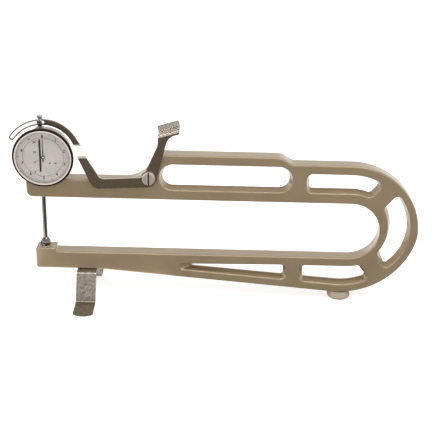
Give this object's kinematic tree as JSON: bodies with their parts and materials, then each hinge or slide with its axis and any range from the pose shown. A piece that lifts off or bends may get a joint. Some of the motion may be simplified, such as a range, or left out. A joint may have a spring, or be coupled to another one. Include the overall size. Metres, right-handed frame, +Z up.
{
  "type": "deep-throat dial thickness gauge",
  "caption": "Deep C-shaped cast frame with a round dial head, a sliding spindle over an anvil, a lifting lever for the thumb and low feet.",
  "frame": {"origin": "middle of the anvil's measuring face, on the spindle axis", "axes": "+X from the spindle towards the rear bend, +Y away from the side with the dial, +Z up along the spindle"},
  "size_m": [0.3918, 0.111, 0.1828],
  "materials": {
    "frame_lacquer": "smooth lacquer",
    "chrome_trim": "polished",
    "lever_nickel": "polished sheet",
    "ground_steel": "ground",
    "movement_brass": "satin",
    "dial_white": "matt",
    "pointer_black": "satin",
    "dial_glass": "clear",
    "foot_plastic": "moulded"
  },
  "bodies": {
    "frame_body": {"frame": "frame_lacquer", "anvil": "ground_steel", "lower_bush": "chrome_trim", "upper_bush": "chrome_trim", "dial_disc": "dial_white", "front_plate": "movement_brass", "back_plate": "movement_brass", "pillars": "movement_brass", "movement_screws": "ground_steel", "back_cover": "ground_steel", "cover_screws": "ground_steel", "return_spring": "ground_steel", "spring_post": "ground_steel", "foot_strap": "lever_nickel", "strap_screw": "ground_steel", "rear_foot": "foot_plastic", "rear_foot_screw": "ground_steel", "pivot_washer": "ground_steel", "pivot_screw": "chrome_trim"},
    "bezel_body": {"bezel": "chrome_trim", "crystal": "dial_glass", "crystal_spacer": "ground_steel", "scale_ring": "dial_white", "bezel_wire": "ground_steel"},
    "spindle_body": {"spindle": "chrome_trim", "contact_tip": "chrome_trim", "top_button": "chrome_trim", "counter_marker": "pointer_black", "lift_screw": "chrome_trim"},
    "lever_body": {"lift_lever": "lever_nickel"},
    "pointer_body": {"centre_arbor": "movement_brass", "pointer": "pointer_black", "pointer_hub": "pointer_black"},
    "wheel_body": {"return_wheel": "movement_brass", "return_arbor": "ground_steel", "spring_collet": "movement_brass"}
  },
  "joints": [
    {"name": "spindle_lift", "type": "slide", "parent": "frame_body", "child": "spindle_body", "axis": [0, 0, 1], "range_m": [0, 0.03], "stiffness_N_per_m": 20, "springref_m": -0.05},
    {"name": "lever_turn", "type": "hinge", "parent": "frame_body", "child": "lever_body", "pos_m": [0.102, 0, 0.0765], "axis": [0, 1, 0], "range_deg": [0, 20]},
    {"name": "pointer_turn", "type": "hinge", "parent": "frame_body", "child": "pointer_body", "pos_m": [0.0028, 0, 0.0954], "axis": [0, 1, 0], "range_deg": [0, 1085]},
    {"name": "wheel_turn", "type": "hinge", "parent": "frame_body", "child": "wheel_body", "pos_m": [0.01028, 0, 0.09268], "axis": [0, 1, 0], "range_deg": [-272, 0]},
    {"name": "bezel_turn", "type": "hinge", "parent": "frame_body", "child": "bezel_body", "pos_m": [0.0028, 0, 0.0954], "axis": [0, 1, 0], "continuous": true}
  ],
  "couplings": [
    {"joint": "lever_turn", "follows": "spindle_lift", "rad_per_m": 11.534},
    {"joint": "pointer_turn", "follows": "spindle_lift", "rad_per_m": 628.32},
    {"joint": "wheel_turn", "follows": "spindle_lift", "rad_per_m": -157.08}
  ]
}
